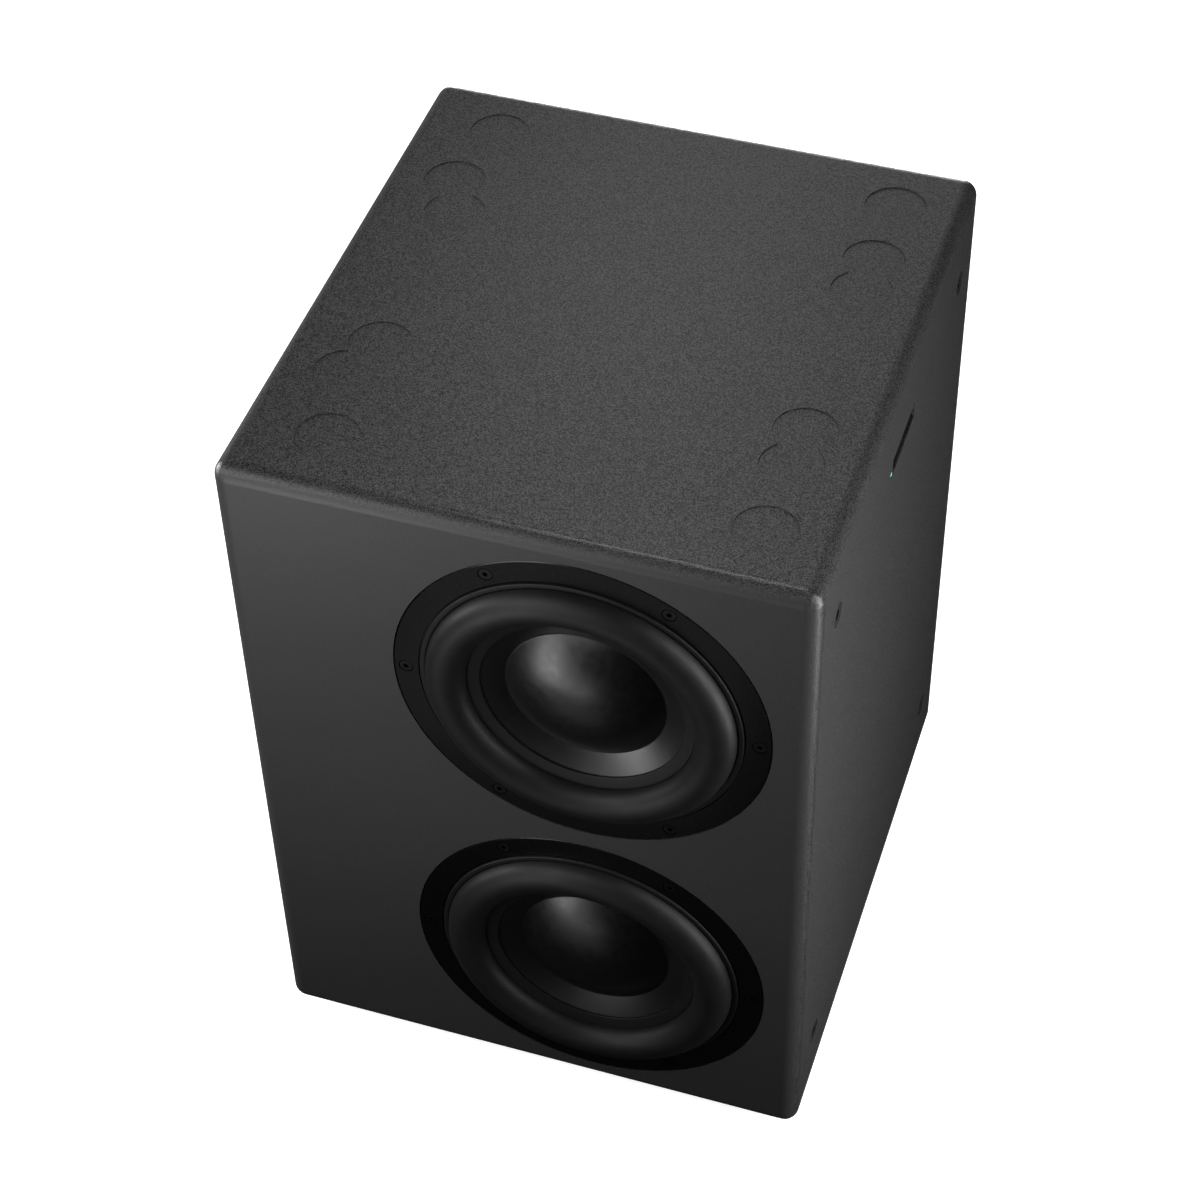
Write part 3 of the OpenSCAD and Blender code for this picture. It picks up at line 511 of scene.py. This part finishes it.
def make_object(name, mesh, mat):
    data = bpy.data.meshes.new(name)
    mesh.to_mesh(data)
    mesh.free()
    data.materials.append(mat)
    return add_object(name, data)


def lathe(name, outline, centre, mat):
    """A solid of revolution about the woofer's axis. A point on the axis becomes one vertex."""
    mesh = bmesh.new()
    rings = []
    for radius, height in outline:
        ring = []
        for k in range(SEGMENTS if radius > 0 else 1):
            turn = 2 * math.pi * k / SEGMENTS
            x, z = radius * MM * math.cos(turn), radius * MM * math.sin(turn)
            ring.append(mesh.verts.new((centre.x + x, FRONT_Y - height * MM, centre.z + z)))
        rings.append(ring)
    for i, ring in enumerate(rings):
        after = rings[(i + 1) % len(rings)]
        if len(ring) == 1 and len(after) == 1:
            continue
        for k in range(SEGMENTS):
            places = ((ring, k), (ring, k + 1), (after, k + 1), (after, k))
            corners = [circle[step % len(circle)] for circle, step in places]
            mesh.faces.new([v for j, v in enumerate(corners) if v not in corners[:j]])
    bmesh.ops.recalc_face_normals(mesh, faces=mesh.faces)
    for face in mesh.faces:
        face.smooth = True
    return make_object(name, mesh, mat)


def surround_outline():
    """Outer lip, half roll and the beaded inner lip that is glued to the cone."""
    inner, outer = ROLL_RADIUS - ROLL_SIZE + RUBBER, ROLL_RADIUS + ROLL_SIZE - RUBBER
    past_rim = RIM_RADIUS + 0.2
    lip = eased([(outer, SEAT, 0), (LIP_OUTER, SEAT, 0.3), (LIP_OUTER, LIP_TOP, 0.7),
                 (LIP_INNER + 1, LIP_TOP, 0.8), (LIP_INNER, 0.5, 0.5)])
    crest = arc(ROLL_RADIUS, 0, ROLL_SIZE, 2, 176, 48)
    bead = eased([(BEAD_OUTER + 0.2, -1.2, 0.5), (BEAD_OUTER, 0.4, 0.5), (BEAD_INNER, -1.7, 0.4),
                  (BEAD_INNER, cone_height(BEAD_INNER) + GLUE, 0),
                  (past_rim, cone_height(past_rim) + GLUE, 0), (past_rim, SEAT, 0), (inner, SEAT, 0)])
    under = arc(ROLL_RADIUS, 0, ROLL_SIZE - RUBBER, 180, 0, 36)
    return lip[1:] + crest + bead + under + lip[:1]


def spider_outline():
    """A corrugated disc from the coil former to the basket's ledge."""
    steps = 16 * WAVES
    line = [Vector((NECK_RADIUS, SPIDER_HEIGHT))]
    for k in range(steps + 1):
        swing = WAVE_HEIGHT * math.sin(2 * math.pi * WAVES * k / steps)
        line.append(Vector((WAVES_START + (WAVES_END - WAVES_START) * k / steps, SPIDER_HEIGHT + swing)))
    line.append(Vector((SPIDER_OUTER, SPIDER_HEIGHT)))
    up = Vector((0, SPIDER_WALL / 2))
    return [p + up for p in line] + [p - up for p in reversed(line)]


def dome_outline():
    """The dust cap's shell, whose edge turns down onto the cone."""
    ball = (CAP_RADIUS ** 2 + CAP_RISE ** 2) / (2 * CAP_RISE)
    middle = CAP_EDGE + CAP_RISE - ball
    edge = math.degrees(math.acos((CAP_RADIUS - 0.5) / ball))
    top = Vector((0, middle + ball))
    shell = [top] + arc(0, middle, ball, 90, edge, 40)[1:]
    skirt = eased([(CAP_RADIUS - 0.15, shell[-1].y - 0.2, 0.25), (CAP_RADIUS, CAP_EDGE + GLUE, 0)])
    inside = [Vector((p.x * 0.985, p.y - CAP_WALL)) for p in reversed(shell)]
    return shell + skirt + inside


def cone_outline():
    """The straight wall of the cone, from its neck to its rim."""
    neck, rim = cone_height(NECK_RADIUS), cone_height(RIM_RADIUS)
    face = [(NECK_RADIUS, neck, 0.2), (RIM_RADIUS, rim, 0.3)]
    back = [(RIM_RADIUS, rim - CONE_WALL, 0.3), (NECK_RADIUS, neck - CONE_WALL, 0.2)]
    return eased(face + back, 3)


def flex_between(piece):
    """Bakes the piece's placement into its mesh."""
    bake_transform(piece)


def make_woofer(side):
    """Surround, spider, cone and dust cap of the upper or the lower woofer, in place of their CAD nodes."""
    low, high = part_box(side + "_basket")
    centre = (low + high) / 2
    roll = lathe(side + "_rubber_surround", surround_outline(), centre, LOOKS["surround_rubber"])
    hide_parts(side + "_surround")
    flex_between(roll)
    cloth = lathe(side + "_corrugated_spider", spider_outline(), centre, LOOKS["spider_cloth"])
    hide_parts(side + "_spider")
    flex_between(cloth)
    rigid = (("coated_cone", "cone", cone_outline(), "cone_black"),
             ("dome", "dust_cap", dome_outline(), "cap_black"))
    for name, node, outline, slot in rigid:
        piece = lathe(f"{side}_{name}", outline, centre, LOOKS[slot])
        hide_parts(f"{side}_{node}")
        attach(piece, side + "_cone_assembly")


for side in ("upper", "lower"):
    make_woofer(side)


# ---------- scales printed round the two knobs ----------

# how many marks, and their place and sizes in millimetres
MARKS, MARK_START, INK = 11, 13.4, 0.05
MARK_WIDTH, MARK_LENGTH = 0.5, 2.6
MAIN_WIDTH, MAIN_LENGTH = 0.9, 3.6
PRINT = moulded("print_grey", grey(0.42), 0.6, relief=0.000004, grain=0.0004)


def make_scale(knob, joint):
    """Plain marks over the knob's whole turn. The first, middle and last are thicker and longer."""
    low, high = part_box(knob)
    centre = (low + high) / 2
    limits = [math.radians(a) for a in joint["range_deg"]]
    middle = Matrix.Translation((centre.x, BACK_Y + 0.5 * INK * MM, centre.z))
    mesh = bmesh.new()
    for k in range(MARKS):
        turn = Matrix.Rotation(limits[0] + (limits[1] - limits[0]) * k / (MARKS - 1), 4, "Y")
        main = k in (0, MARKS // 2, MARKS - 1)
        width, length = (MAIN_WIDTH, MAIN_LENGTH) if main else (MARK_WIDTH, MARK_LENGTH)
        out = Matrix.Translation((0, 0, (MARK_START + length / 2) * MM))
        size = Matrix.Diagonal((width * MM, INK * MM, length * MM, 1))
        bmesh.ops.create_cube(mesh, size=1, matrix=middle @ turn @ out @ size)
    scale = make_object(knob + "_scale", mesh, PRINT)
    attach(scale, "cabinet")


joints = {joint["name"]: joint for joint in frame["joints"]}
for control in ("level", "crossover"):
    make_scale(control + "_knob", joints[control + "_turn"])
